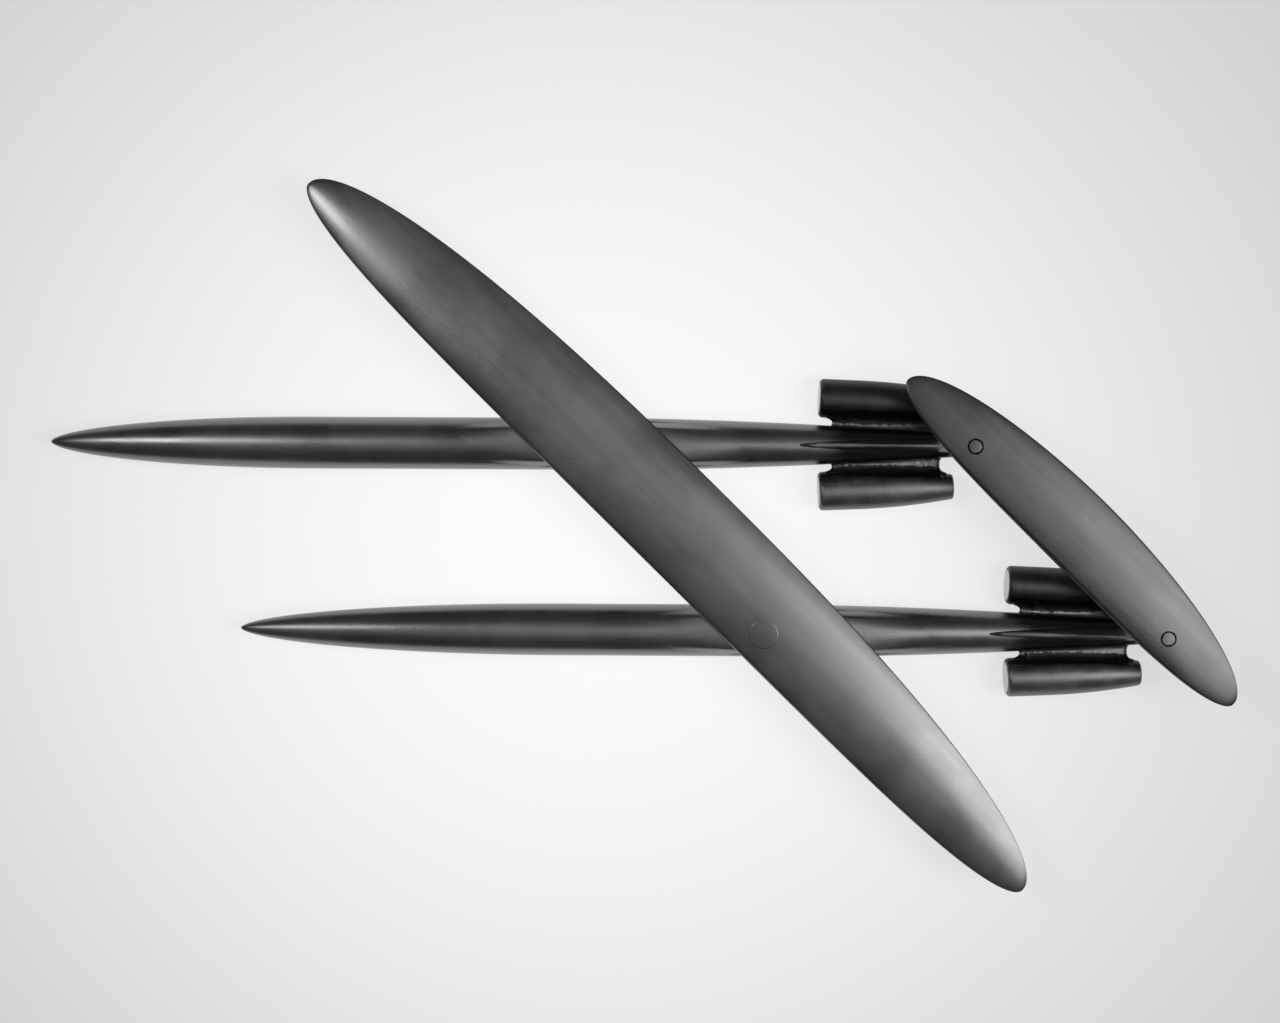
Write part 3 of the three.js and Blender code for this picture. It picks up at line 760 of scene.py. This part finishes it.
def pylon_points(side, sign, seed):
    """Rows go from inside the fuselage to inside the nacelle. A column at angle a lies at
    cos(a)^0.25 of the half length and sin(a)^0.6 of the half thickness. The half length grows
    exponentially close to either body. The bead adds thickness that dies away
    exponentially from the fuselage, and the cove adds r - sqrt(r^2 - d^2), an arc of radius r
    that starts half a radius off the nacelle, with d the way gone up it. The measure's second
    value is the distance to the nacelle, and more near the front end, which was filed too."""
    middle = wheelbase - NACELLE_AHEAD + NACELLE_LENGTH / 2
    across = np.linspace(0, 1, 61)[:, None]
    a = np.linspace(0, 2 * np.pi, 180, endpoint=False)[None, :]
    lengthwise = np.sign(np.cos(a)) * np.abs(np.cos(a)) ** 0.25
    x = middle + (NACELLE_LENGTH / 2 - PYLON_INSET) * lengthwise
    inner, outer = fuselage_radius_at(x, side), nacelle_flank(x)
    y = (inner - PYLON_SINK_IN) + (outer - inner + PYLON_SINK_IN + PYLON_SINK_OUT) * across
    flare = FLARE_OUT * np.exp(-np.clip(outer - y, 0, None) / FLARE_REACH)
    flare = flare + FLARE_IN * np.exp(-np.clip(y - inner, 0, None) / FLARE_REACH)
    x = x + flare * lengthwise
    uneven = waves(x, y, seed)
    bead = BEAD_RISE * np.exp(-np.clip(y - inner, 0, None) / BEAD_REACH) * (1 + BEAD_WAVES * uneven)
    start = COVE_RADIUS / 2 * (1 + COVE_WAVES * uneven)
    gone_up = np.clip(y - outer + start, 0, COVE_RADIUS * 0.95)
    cove = COVE_RADIUS - np.sqrt(COVE_RADIUS ** 2 - gone_up ** 2)
    half_thick = PYLON_HALF + bead + cove + PLATE_WAVES * waves(x, y, seed + PLATE_SEED)
    z = pylon_height + half_thick * np.sign(np.sin(a)) * np.abs(np.sin(a)) ** 0.6
    bright_end = BRIGHT_END * np.exp(-(x - x.min()) / BRIGHT_REACH)
    measure = np.stack([x, outer - y + bright_end], axis=-1)
    return stacked(x, sign * y, z), measure


for number, (side, where, sign) in enumerate(NACELLES):
    points, measure = pylon_points(side, sign, BRAZE_SEED + number)
    piece = skin(f"{side}_{where}_pylon_brazed", on_side(points, side), measure, sharp=60)
    finish_piece(piece, SIDE_BODY[side], f"{side}_{where}_pylon")
print(len(pieces), "pieces")

# %% [markdown]
# ## Shared surface effects
#
# The finish was made by hand: filed, rubbed with emery along each piece, and handled since.
# Three node groups hold what the finishes share. One makes fine lines by stretching a noise
# along the rubbing direction, one makes the soft clouds and rare nicks of handling, and one
# makes the rings that a lathe leaves. Each material places them with its own values.

# %% Helpers for nodes
def add(tree, kind, inputs=None, **settings):
    """Adds a node. Each input is filled by a link if it is given a socket, else by a value."""
    node = tree.nodes.new(kind)
    for key, value in settings.items():
        setattr(node, key, value)
    for key, value in (inputs or {}).items():
        if isinstance(value, bpy.types.NodeSocket):
            tree.links.new(value, node.inputs[key])
        else:
            node.inputs[key].default_value = value
    return node


def place_group(tree, group, inputs):
    """The outputs of a node group placed in a tree."""
    return add(tree, "ShaderNodeGroup", inputs, node_tree=group).outputs


def stretched(tree, vector, factors):
    """A vector with each of its parts multiplied by its own factor."""
    inputs = {0: vector, 1: factors}
    return add(tree, "ShaderNodeVectorMath", inputs, operation="MULTIPLY").outputs[0]


def math_node(tree, operation, *values):
    """The result of one sum on numbers or sockets."""
    return add(tree, "ShaderNodeMath", dict(enumerate(values)), operation=operation).outputs[0]


def map_range(tree, value, low, high, to_low, to_high):
    """A socket's range taken smoothly to another range."""
    inputs = {"Value": value, "From Min": low, "From Max": high, "To Min": to_low, "To Max": to_high}
    node = add(tree, "ShaderNodeMapRange", inputs, interpolation_type="SMOOTHSTEP")
    return node.outputs["Result"]


def noise(tree, vector, scale, detail=3.0, roughness=0.55):
    """A noise between 0 and 1."""
    inputs = {"Vector": vector, "Scale": scale, "Detail": detail, "Roughness": roughness}
    return add(tree, "ShaderNodeTexNoise", inputs).outputs["Fac"]


def new_group(name, inputs, outputs):
    """A node group whose inputs are vectors (no default) or numbers, and whose outputs are
    numbers; with the sockets that its own nodes take from and give to."""
    group = bpy.data.node_groups.new(name, "ShaderNodeTree")
    for label, value in inputs.items():
        kind = "NodeSocketVector" if value is None else "NodeSocketFloat"
        socket = group.interface.new_socket(name=label, in_out="INPUT", socket_type=kind)
        if value is not None:
            socket.default_value = value
    for label in outputs:
        group.interface.new_socket(name=label, in_out="OUTPUT", socket_type="NodeSocketFloat")
    take = group.nodes.new("NodeGroupInput").outputs
    give = group.nodes.new("NodeGroupOutput").inputs
    return group, take, give


# %% Fine lines of emery
emery, take, give = new_group(
    "emery_lines", {"Vector": None, "Stretch": None, "Scale": 900.0}, ["Lines", "Streaks"])
drawn_out = stretched(emery, take["Vector"], take["Stretch"])
fine = noise(emery, drawn_out, take["Scale"], 2.0, 0.6)
broad = noise(emery, drawn_out, math_node(emery, "MULTIPLY", take["Scale"], 0.22))
emery.links.new(fine, give["Lines"])
emery.links.new(map_range(emery, broad, 0.35, 0.68, 0.0, 1.0), give["Streaks"])

# %% Clouds and nicks of handling
handling, take, give = new_group("handling", {"Vector": None, "Size": 40.0}, ["Clouds", "Nicks"])
clouds = noise(handling, take["Vector"], take["Size"], 4.0, 0.6)
cells = add(handling, "ShaderNodeTexVoronoi", {
    "Vector": take["Vector"], "Scale": math_node(handling, "MULTIPLY", take["Size"], 3.2),
    "Randomness": 1.0}, feature="F1")
near_cell = map_range(handling, cells.outputs["Distance"], 0.02, 0.09, 1.0, 0.0)
rare = map_range(handling, noise(handling, take["Vector"], 75.0, 1.0), 0.6, 0.66, 0.0, 1.0)
handling.links.new(map_range(handling, clouds, 0.32, 0.7, 0.0, 1.0), give["Clouds"])
handling.links.new(math_node(handling, "MULTIPLY", near_cell, rare), give["Nicks"])

# %% Rings of the lathe
rings, take, give = new_group(
    "lathe_rings", {"Along": 0.0, "Pitch": 0.0005, "Vector": None}, ["Rings"])
wander = math_node(rings, "MULTIPLY", noise(rings, take["Vector"], 35.0, 2.0), 5.0)
turns = math_node(rings, "DIVIDE", take["Along"], take["Pitch"])
phase = math_node(rings, "MULTIPLY_ADD", turns, 2 * math.pi, wander)
wave = math_node(rings, "MULTIPLY_ADD", math_node(rings, "SINE", phase), 0.5, 0.5)
along_only = add(rings, "ShaderNodeCombineXYZ", {"X": take["Along"]})
groove = noise(rings, along_only.outputs[0], 2600.0, 3.0, 0.8)
rings.links.new(math_node(rings, "MULTIPLY", wave, groove), give["Rings"])
print("shared effects:", [group.name for group in (emery, handling, rings)])

# %% [markdown]
# ## Finishes
#
# But for the bronze bushes the metal is one dark steel, rubbed to a satin gloss, so every
# finish is fully metallic, and what differs is how each piece was worked. The fuselages were
# rubbed along their length, and the wing and the tailplane along their span. The saddles keep
# coarser file marks. The brazing torch blackened the fins and pylons, and the file bared pale
# streaks on them again. Painted shade darkens the tails of the fuselages, the flanks of the
# nacelles toward the fuselages, a ring round each tail pin and the two nacelles on the +Y
# side; the front faces of the nacelles are painted pale as a painted reflection. The nacelles
# and pins show lathe rings. Painted shade along a piece reads the piece's own measure; marks
# read the place in space.

# %% Building a metal
def new_material(name):
    """A material with an empty tree but for the shader and the output."""
    material = bpy.data.materials.new(name)
    material.use_nodes = True
    tree = material.node_tree
    return material, tree, tree.nodes["Principled BSDF"]


def mixed(tree, share, low, high, blend="MIX"):
    """A colour between two colours. By position, inputs 6 and 7 and output 2 of a Mix node are
    its colours."""
    inputs = {"Factor": share, 6: low, 7: high}
    return add(tree, "ShaderNodeMix", inputs, data_type="RGBA", blend_type=blend).outputs[2]


def grey(value, warm=0.0):
    """A near-neutral grey, a little warm where asked."""
    return (value * (1 + warm), value, value * (1 - warm), 1)


def surface_measure(tree):
    """The parts of the piece's own measure: X along it and Y round it or up from a seam."""
    uv = add(tree, "ShaderNodeUVMap", uv_map="surface").outputs[0]
    return add(tree, "ShaderNodeSeparateXYZ", {0: uv}).outputs


def bump(tree, height, distance, strength=1.0, normal=None):
    """A bump from a height between 0 and 1, whose full height is a distance in metres."""
    inputs = {"Height": height, "Distance": distance, "Strength": strength}
    if normal is not None:
        inputs["Normal"] = normal
    return add(tree, "ShaderNodeBump", inputs).outputs["Normal"]


def object_vector(tree, turn=0.0):
    """Object coordinates, turned about Z so that X or Y lies along the piece."""
    coordinates = add(tree, "ShaderNodeTexCoord").outputs["Object"]
    if not turn:
        return coordinates
    inputs = {"Vector": coordinates, "Rotation": (0, 0, turn)}
    return add(tree, "ShaderNodeMapping", inputs).outputs[0]


# %% Painted shade: darker tails, nacelle flanks and rings round the tail pins
PAINTED_SHADE_TONE, PAINTED_RING_TONE = 0.25, 0.02


def painted_shade_band(tree, color, where, low, high):
    """Darkens a colour from one value of a coordinate to the next, with a ragged border: painted
    shade."""
    cloud = noise(tree, stretched(tree, object_vector(tree), (0.15, 1, 1)), 300.0)
    swing = math_node(tree, "SUBTRACT", cloud, 0.5)
    ragged = math_node(tree, "MULTIPLY_ADD", swing, 2 * (high - low), where)
    share = map_range(tree, ragged, low, high, 0.0, 1.0)
    return mixed(tree, share, color, grey(PAINTED_SHADE_TONE), "MULTIPLY")


def painted_shade_ring(tree, color, centre, radius, width):
    """Darkens a colour in an uneven ring about an upright axis: painted shade over the gap round a
    pin.
    """
    flat = stretched(tree, object_vector(tree), (1, 1, 0))
    inputs = {0: flat, 1: (centre[0], centre[1], 0)}
    reach = add(tree, "ShaderNodeVectorMath", inputs, operation="DISTANCE").outputs["Value"]
    off = math_node(tree, "ABSOLUTE", math_node(tree, "SUBTRACT", reach, radius))
    off = math_node(tree, "MULTIPLY_ADD", noise(tree, flat, 700.0, 2.0), width, off)
    share = map_range(tree, off, width * 0.9, width * 1.6, 1.0, 0.0)
    return mixed(tree, share, color, grey(PAINTED_RING_TONE), "MULTIPLY")


# %% Steel rubbed with emery
METAL = 0.2
LINE_DEPTH = 0.012 * MM
NICK_DEPTH = 0.04 * MM


def rubbed_metal(name, turn, stretch, scale=900.0, tone=METAL, rough=(0.22, 0.3),
                 depth=LINE_DEPTH, painted_shade_from=None, shade_rings_at=()):
    """Satin steel with emery lines along the stretch, clouds of handling and a few nicks. It
    may be darkened with painted shade from a place on along the piece's first UV coordinate,
    and have painted shade in the rings about upright axes."""
    material, tree, shader = new_material(name)
    vector = object_vector(tree, turn)
    lines = place_group(tree, emery, {"Vector": vector, "Stretch": stretch, "Scale": scale})
    marks = place_group(tree, handling, {"Vector": vector, "Size": 26.0})
    share = math_node(tree, "MULTIPLY", marks["Clouds"], 0.4)
    share = math_node(tree, "MULTIPLY_ADD", lines["Streaks"], 0.3, share)
    share = math_node(tree, "MULTIPLY_ADD", lines["Lines"], 0.3, share)
    color = mixed(tree, share, grey(tone * 0.76), grey(tone * 1.22))
    # Painted shade: the colour is darkened from a place along the piece onward.
    if painted_shade_from is not None:
        along = surface_measure(tree)["X"]
        color = painted_shade_band(tree, color, along, painted_shade_from, painted_shade_from + 16 * MM)
    # Painted shade in a ring round each upright axis, over the gap round a tail pin.
    for centre in shade_rings_at:
        color = painted_shade_ring(tree, color, centre, PIN_RADIUS + PIN_RING / 2, PIN_RING)
    tree.links.new(color, shader.inputs["Base Color"])
    varied = map_range(tree, marks["Clouds"], 0.0, 1.0, rough[0], rough[1])
    roughness = math_node(tree, "MULTIPLY_ADD", lines["Lines"], 0.08, varied)
    tree.links.new(roughness, shader.inputs["Roughness"])
    shader.inputs["Metallic"].default_value = 1.0
    whole = math_node(tree, "SUBTRACT", 1.0, marks["Nicks"])
    normal = bump(tree, whole, NICK_DEPTH, 0.7, bump(tree, lines["Lines"], depth))
    tree.links.new(normal, shader.inputs["Normal"])
    return material


# %% Fuselages, wing, tailplane and saddles
# Painted shade darkens each fuselage from just ahead of the nacelles to its tail.
painted_shade_starts = wheelbase - NACELLE_AHEAD - 2 * MM
tail_axes = [pivot + [wheelbase, 0, 0] for pivot in wing_pivot.values()]
along_fuselage = rubbed_metal("satin_steel_along_fuselage", 0.0, (0.04, 1, 1),
                              painted_shade_from=painted_shade_starts)
along_span = rubbed_metal("satin_steel_along_span", -sweep, (1, 0.05, 1), scale=700.0)
# The tailplane gets a painted shade ring round each tail pin.
along_tailplane = rubbed_metal("satin_steel_of_tailplane", -sweep, (1, 0.06, 1), scale=800.0,
                               tone=0.1, shade_rings_at=tail_axes)
filed = rubbed_metal("filed_steel", 0.0, (0.09, 1, 1), scale=520.0, rough=(0.24, 0.32),
                     depth=0.015 * MM)

# %% Brazed fins and pylons
BLACKENED = 0.035


def brazed_metal(name, low, high, pale_tone, lump_scale, lump_depth):
    """Steel that the torch blackened where the piece's second UV coordinate is below one
    value, in metres. Above another the file has left it pale and streaky, and lumps make the
    border between the two ragged."""
    material, tree, shader = new_material(name)
    vector = object_vector(tree)
    height = surface_measure(tree)["Y"]
    lines = place_group(tree, emery, {"Vector": vector, "Stretch": (0.1, 1, 1), "Scale": 600.0})
    lumps = noise(tree, vector, lump_scale, 3.0, 0.6)
    ragged = math_node(tree, "MULTIPLY_ADD", math_node(tree, "SUBTRACT", lumps, 0.5), high, height)
    filed_bare = map_range(tree, ragged, low, high, 0.0, 1.0)
    pale = mixed(tree, lines["Streaks"], grey(pale_tone * 0.35, 0.03), grey(pale_tone, 0.05))
    black = mixed(tree, lumps, grey(BLACKENED * 0.6), grey(BLACKENED * 1.3))
    tree.links.new(mixed(tree, filed_bare, black, pale), shader.inputs["Base Color"])
    smooth = math_node(tree, "MULTIPLY_ADD", filed_bare, -0.14, 0.42)
    roughness = math_node(tree, "MULTIPLY_ADD", lines["Lines"], 0.1, smooth)
    tree.links.new(roughness, shader.inputs["Roughness"])
    shader.inputs["Metallic"].default_value = 1.0
    normal = bump(tree, lines["Lines"], 0.02 * MM, 1.0, bump(tree, lumps, lump_depth))
    tree.links.new(normal, shader.inputs["Normal"])
    return material


fin_finish = brazed_metal("brazed_fin_steel", 0.3 * MM, 1.2 * MM, pale_tone=0.3,
                          lump_scale=260.0, lump_depth=0.2 * MM)
pylon_finish = brazed_metal("brazed_pylon_steel", 2.2 * MM, 2.9 * MM, pale_tone=0.22,
                            lump_scale=420.0, lump_depth=0.3 * MM)


# %% Turned nacelles, pins, screws and bushes
def turned_metal(name, tone, rough, pitch, depth, warm=0.0, face=0.0):
    """Steel or bronze with lathe rings that follow the first UV coordinate, which runs out
    over each face and along the barrel. On a nacelle the front face is painted paler, a
    painted reflection, and the flank toward the fuselage, by the second UV coordinate, is
    darkened with painted shade."""
    material, tree, shader = new_material(name)
    vector = object_vector(tree)
    along, inward = surface_measure(tree)[:2]
    ring = place_group(tree, rings, {"Along": along, "Pitch": pitch, "Vector": vector})["Rings"]
    marks = place_group(tree, handling, {"Vector": vector, "Size": 60.0})
    share = math_node(tree, "MULTIPLY", marks["Clouds"], 0.6)
    share = math_node(tree, "MULTIPLY_ADD", ring, 0.5, share)
    color = mixed(tree, share, grey(tone * 0.7, warm), grey(tone * 1.25, warm))
    if face:
        # Painted shade on the flank toward the fuselage, by the second UV coordinate.
        color = painted_shade_band(tree, color, inward, 2 * MM, 8 * MM)
        # Painted reflection: the front face is painted the pale grey given by face.
        edge = 0.4 * MM
        painted_reflection_on_face = map_range(tree, along, NACELLE_FACE - edge, NACELLE_FACE + edge, 1.0, 0.0)
        color = mixed(tree, painted_reflection_on_face, color, grey(face))
    tree.links.new(color, shader.inputs["Base Color"])
    varied = map_range(tree, marks["Clouds"], 0.0, 1.0, rough - 0.04, rough + 0.05)
    roughness = math_node(tree, "MULTIPLY_ADD", ring, 0.08, varied)
    tree.links.new(roughness, shader.inputs["Roughness"])
    shader.inputs["Metallic"].default_value = 1.0
    nicked = bump(tree, math_node(tree, "SUBTRACT", 1.0, marks["Nicks"]), NICK_DEPTH, 0.7)
    tree.links.new(bump(tree, ring, depth, 1.0, nicked), shader.inputs["Normal"])
    return material


# face is the pale grey of the painted reflection on the nacelles' front faces.
NACELLE_TURNING = dict(rough=0.43, pitch=1.1 * MM, depth=0.016 * MM, face=0.6)
nacelle_finish = turned_metal("turned_steel", METAL, **NACELLE_TURNING)
# Painted shade: a darker copy of the same turned steel for the two nacelles on the +Y side of their
# fuselages.
painted_shade_nacelle_finish = turned_metal("dark_turned_steel", 0.065, **NACELLE_TURNING)
pin_finish = turned_metal("pin_steel", 0.105, rough=0.28, pitch=0.4 * MM, depth=0.006 * MM)
bronze_finish = turned_metal("bush_bronze", 0.35, rough=0.34, pitch=0.5 * MM, depth=0.01 * MM,
                             warm=0.22)

# %% Which piece gets which finish
# The two nacelles on the +Y side of their fuselages take the painted-shade copy.
PAINTED_SHADE_NACELLES = ("starboard_outboard_nacelle_turned", "port_inboard_nacelle_turned")
FINISHES = {
    "fuselage_turned": along_fuselage, "saddle_filed": filed, "wing_filed": along_span,
    "tailplane_filed": along_tailplane, "plug_flush": along_span, "bush_turned": bronze_finish,
    "screw_turned": pin_finish, "pin_turned": pin_finish, "fin_brazed": fin_finish,
    "nacelle_turned": nacelle_finish, "pylon_brazed": pylon_finish,
}
for name, piece in pieces.items():
    material = next(finish for ending, finish in FINISHES.items() if name.endswith(ending))
    if name in PAINTED_SHADE_NACELLES:
        material = painted_shade_nacelle_finish
    piece.data.materials.clear()
    piece.data.materials.append(material)
print(len(set(FINISHES.values())) + 1, "finishes on", len(pieces), "pieces")

# %% [markdown]
# ## The floor and the light
#
# The model lies on a pale sheet that glows a little, as on a light table, so that hardly any
# shadow shows. The glow falls off slowly away from the model. Two soft boxes hang left and
# right of the camera, and the right one is larger. They draw the bright ends of the noses and
# of the wing, and a dim card beside the camera carries the right one's light on into the
# middle. The room is dark low down and dim grey overhead, which gives the metal its dark
# flanks; the camera itself sees it as an even pale grey.

# %% Floor
FLOOR_HALF, FLOOR_DROP = 6.0, 0.5 * MM
GLOW_FAR, GLOW_NEAR, GLOW_SPREAD = 0.33, 0.48, 0.15
GLOW_MIDDLE = -30 * MM
corners = np.array([[-1, -1, 0], [1, -1, 0], [1, 1, 0], [-1, 1, 0]]) * FLOOR_HALF
floor_mesh = bpy.data.meshes.new("pale_floor")
floor_mesh.from_pydata((corners - [0, 0, FLOOR_DROP]).tolist(), [], [(0, 1, 2, 3)])
floor = bpy.data.objects.new("pale_floor", floor_mesh)
bpy.context.scene.collection.objects.link(floor)
floor_finish, tree, shader = new_material("pale_sheet")
inputs = {0: object_vector(tree), 1: (GLOW_MIDDLE, 0.0, 0.0)}
distance = add(tree, "ShaderNodeVectorMath", inputs, operation="DISTANCE").outputs["Value"]
square = math_node(tree, "MULTIPLY", distance, distance)
falloff = math_node(tree, "EXPONENT", math_node(tree, "DIVIDE", square, -GLOW_SPREAD))
shader.inputs["Base Color"].default_value = (0.3, 0.3, 0.3, 1)
shader.inputs["Roughness"].default_value = 0.9
shader.inputs["Specular IOR Level"].default_value = 0.0
shader.inputs["Emission Color"].default_value = (1, 1, 1, 1)
glow = math_node(tree, "MULTIPLY_ADD", falloff, GLOW_NEAR, GLOW_FAR)
tree.links.new(glow, shader.inputs["Emission Strength"])
floor_mesh.materials.append(floor_finish)
floor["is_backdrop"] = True


# %% Soft boxes
def soft_box(name, location, aim, size, radiance):
    """A rectangular light facing a point. Its power is its radiance times its area times pi."""
    data = bpy.data.lights.new(name, "AREA")
    data.shape, data.size, data.size_y = "RECTANGLE", size[0], size[1]
    data.energy = radiance * size[0] * size[1] * math.pi
    light = bpy.data.objects.new(name, data)
    light.location = location
    light.rotation_euler = (Vector(aim) - Vector(location)).to_track_quat("-Z", "Y").to_euler()
    bpy.context.scene.collection.objects.link(light)
    print(name, "power, watts:", round(data.energy, 2))


soft_box("left_soft_box", (-0.76, 0.28, 1.2), (-0.25, 0, 0), (0.36, 0.5), 5.5)
soft_box("right_soft_box", (1.03, -0.12, 1.2), (0.25, -0.1, 0), (0.66, 1.05), 3.6)
soft_box("right_card", (0.5, 0.0, 1.22), (0.15, 0, 0), (0.5, 0.9), 0.5)

# %% Room
ROOM_LOW, ROOM_OVERHEAD, ROOM_LOBE = 0.1, 0.4, 8.0
ROOM_SEEN = 0.6
world = bpy.data.worlds.new("dim_room")
bpy.context.scene.world = world
world.use_nodes = True
tree = world.node_tree
background = tree.nodes["Background"]
direction = add(tree, "ShaderNodeTexCoord").outputs["Generated"]
height = add(tree, "ShaderNodeSeparateXYZ", {0: direction}).outputs["Z"]
lobe = math_node(tree, "POWER", math_node(tree, "MAXIMUM", height, 0.0), ROOM_LOBE)
overhead = math_node(tree, "MULTIPLY_ADD", lobe, ROOM_OVERHEAD, ROOM_LOW)
seen = add(tree, "ShaderNodeLightPath").outputs["Is Camera Ray"]
shown = add(tree, "ShaderNodeMix", {"Factor": seen}, data_type="FLOAT")
tree.links.new(overhead, shown.inputs[2])
shown.inputs[3].default_value = ROOM_SEEN
tree.links.new(shown.outputs[0], background.inputs["Color"])
background.inputs["Strength"].default_value = 1.0
bpy.context.scene.view_settings.view_transform = "Standard"

# %% [markdown]
# ## The finished size
#
# The outer box is measured once more with everything in place, and both boxes are kept.

# %% Sizes and finish
final_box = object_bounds()
boxes = {"cad": [list(corner) for corner in cad_box], "visual": [list(corner) for corner in final_box]}
for label, (low, high) in boxes.items():
    print(label, "box, mm:", [round((b - a) / MM, 2) for a, b in zip(low, high)])
